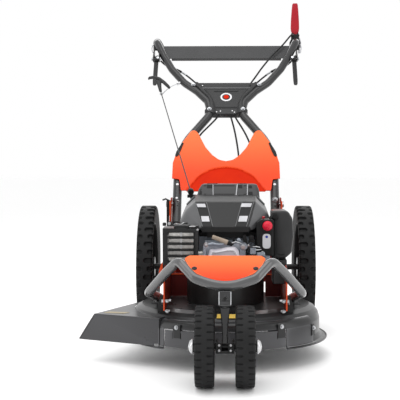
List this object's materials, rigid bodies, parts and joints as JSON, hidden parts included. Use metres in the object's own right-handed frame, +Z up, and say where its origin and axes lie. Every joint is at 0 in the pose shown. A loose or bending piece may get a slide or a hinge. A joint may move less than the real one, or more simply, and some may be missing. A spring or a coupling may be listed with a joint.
{
  "type": "brush mower",
  "caption": "Walk-behind brush mower with a round rotary deck, side chute, caster front wheels, lug rear tyres and a raised bar handle.",
  "frame": {"origin": "bottom centre of the whole machine, on the ground", "axes": "+Z up, +Y from the front wheels back to the operator, +X to the side with the red lever"},
  "size_m": [0.6965, 1.712, 1.176],
  "materials": {
    "deck_paint": "satin dark grey powder coat",
    "zinc": "zinc plated",
    "chassis_red": "red powder coat",
    "tube_grey": "glossy mid-grey paint",
    "tube_dark": "satin dark grey paint",
    "orange_plastic": "moulded orange plastic",
    "black_screw": "blackened screw",
    "black_plastic": "moulded black plastic",
    "black_paint": "black paint",
    "engine_alloy": "die-cast aluminium",
    "gearbox_alloy": "die-cast aluminium",
    "valve_cover": "silver painted pressing",
    "boot_rubber": "tan ribbed rubber",
    "grey_plastic": "moulded dark grey plastic",
    "dark_plastic": "moulded dark grey plastic",
    "muffler_steel": "aluminised steel",
    "belt_rubber": "rubber belt",
    "rope": "braided cord",
    "chrome": "chrome plated",
    "tyre": "black rubber tread",
    "rim_black": "black painted disc",
    "steel": "machined steel",
    "blade_steel": "hardened steel, ground edges",
    "dipstick": "yellow plastic",
    "primer_rubber": "red translucent rubber",
    "grip_rubber": "soft black rubber",
    "cable_jacket": "black cable jacket",
    "red_plastic": "red moulded sleeve"
  },
  "bodies": {
    "root": {"deck_shell": "deck_paint", "chute_deflector": "deck_paint", "flap_hinge": "zinc", "chassis_plates": "chassis_red", "cross_members": "chassis_red", "bumper_tube": "tube_grey", "front_shield": "orange_plastic", "shield_screws": "black_screw", "frame_bolts": "zinc", "axle_bearings": "black_plastic", "engine_drum": "black_paint", "engine_block": "engine_alloy", "cylinder_head": "engine_alloy", "valve_cover": "valve_cover", "spark_plug_boot": "boot_rubber", "blower_housing": "black_plastic", "blower_cover": "grey_plastic", "muffler": "muffler_steel", "muffler_guard": "black_paint", "air_filter_base": "black_plastic", "air_filter_cover": "dark_plastic", "carburettor": "engine_alloy", "fuel_tank": "black_plastic", "gearbox": "gearbox_alloy", "drive_belt": "belt_rubber", "starter_rope": "rope"},
    "caster": {"caster_stem": "tube_grey", "front_axle": "chrome"},
    "front_wheel_left": {"front_tyre_left": "tyre", "front_rim_left": "black_plastic"},
    "front_wheel_right": {"front_tyre_right": "tyre", "front_rim_right": "black_plastic"},
    "rear_wheel_left": {"rear_tyre_left": "tyre", "rear_rim_left": "rim_black", "axle_shaft_left": "zinc"},
    "rear_wheel_right": {"rear_tyre_right": "tyre", "rear_rim_right": "rim_black", "axle_shaft_right": "zinc"},
    "rotor": {"crankshaft": "steel", "flywheel": "engine_alloy", "blade_hub": "steel", "blade": "blade_steel"},
    "gear_input": {"gearbox_pulley": "steel"},
    "flap": {"front_flap": "deck_paint"},
    "fuel_cap": {"fuel_cap": "black_plastic"},
    "dipstick": {"oil_dipstick": "dipstick"},
    "primer": {"primer_bulb": "primer_rubber"},
    "handle": {"lower_tubes": "tube_dark", "upper_tubes": "tube_dark", "grips": "grip_rubber", "centre_cover": "dark_plastic", "fairing": "orange_plastic", "crossbar_panel": "tube_dark", "handle_brackets": "black_paint", "control_cables": "cable_jacket"},
    "lever_left": {"hand_lever_left": "black_paint"},
    "lever_right": {"hand_lever_right": "black_paint"},
    "blade_lever": {"blade_lever": "red_plastic"},
    "starter_grip": {"starter_grip": "dark_plastic"},
    "lock_lever": {"lock_lever": "black_paint"}
  },
  "joints": [
    {"name": "caster_swivel", "type": "hinge", "parent": "root", "child": "caster", "pos_m": [0.057, -0.769, 0.18], "axis": [0, 0, 1], "continuous": true},
    {"name": "front_left_spin", "type": "hinge", "parent": "caster", "child": "front_wheel_left", "pos_m": [0.057, -0.756, 0.1], "axis": [1, 0, 0], "continuous": true},
    {"name": "front_right_spin", "type": "hinge", "parent": "caster", "child": "front_wheel_right", "pos_m": [0.057, -0.756, 0.1], "axis": [1, 0, 0], "continuous": true},
    {"name": "rear_left_spin", "type": "hinge", "parent": "root", "child": "rear_wheel_left", "pos_m": [0.057, 0.111, 0.203], "axis": [1, 0, 0], "continuous": true},
    {"name": "rear_right_spin", "type": "hinge", "parent": "root", "child": "rear_wheel_right", "pos_m": [0.057, 0.111, 0.203], "axis": [1, 0, 0], "continuous": true},
    {"name": "blade_spin", "type": "hinge", "parent": "root", "child": "rotor", "pos_m": [0.057, -0.321, 0.074], "axis": [0, 0, 1], "continuous": true},
    {"name": "gearbox_input_spin", "type": "hinge", "parent": "root", "child": "gear_input", "pos_m": [0.057, 0.021, 0.172], "axis": [0, 0, 1], "continuous": true},
    {"name": "flap_hinge", "type": "hinge", "parent": "root", "child": "flap", "pos_m": [0.057, -0.602, 0.112], "axis": [-1, 0, 0], "range_deg": [0, 60]},
    {"name": "fuel_cap_turn", "type": "hinge", "parent": "root", "child": "fuel_cap", "pos_m": [0.109, -0.124, 0.404], "axis": [0, 0, 1], "range_deg": [0, 120]},
    {"name": "dipstick_lift", "type": "slide", "parent": "root", "child": "dipstick", "axis": [0, 0, 1], "range_m": [0, 0.06]},
    {"name": "primer_press", "type": "slide", "parent": "root", "child": "primer", "axis": [0, 1, 0], "range_m": [0, 0.006], "stiffness_N_per_m": 800},
    {"name": "handle_height", "type": "hinge", "parent": "root", "child": "handle", "pos_m": [0.057, 0.141, 0.41], "axis": [1, 0, 0], "range_deg": [-8, 8], "deforming": ["control_cables", "starter_rope"]},
    {"name": "left_lever_squeeze", "type": "hinge", "parent": "handle", "child": "lever_left", "pos_m": [-0.211, 0.62, 0.945], "axis": [1, 0, 0], "range_deg": [0, 9], "stiffness_Nm_per_rad": 6},
    {"name": "right_lever_squeeze", "type": "hinge", "parent": "handle", "child": "lever_right", "pos_m": [0.325, 0.62, 0.945], "axis": [1, 0, 0], "range_deg": [0, 9], "stiffness_Nm_per_rad": 6},
    {"name": "blade_lever_tilt", "type": "hinge", "parent": "handle", "child": "blade_lever", "pos_m": [0.327, 0.751, 1.05], "axis": [1, 0, 0], "range_deg": [0, 50]},
    {"name": "starter_pull", "type": "slide", "parent": "handle", "child": "starter_grip", "axis": [-0.5514, 0.4511, 0.7018], "range_m": [0, 0.45], "stiffness_N_per_m": 20, "springref_m": -0.1},
    {"name": "lock_lever_turn", "type": "hinge", "parent": "root", "child": "lock_lever", "pos_m": [-0.135, 0.141, 0.41], "axis": [1, 0, 0], "range_deg": [0, 120]}
  ],
  "couplings": [
    {"joint": "gearbox_input_spin", "follows": "blade_spin", "ratio": 0.625}
  ]
}
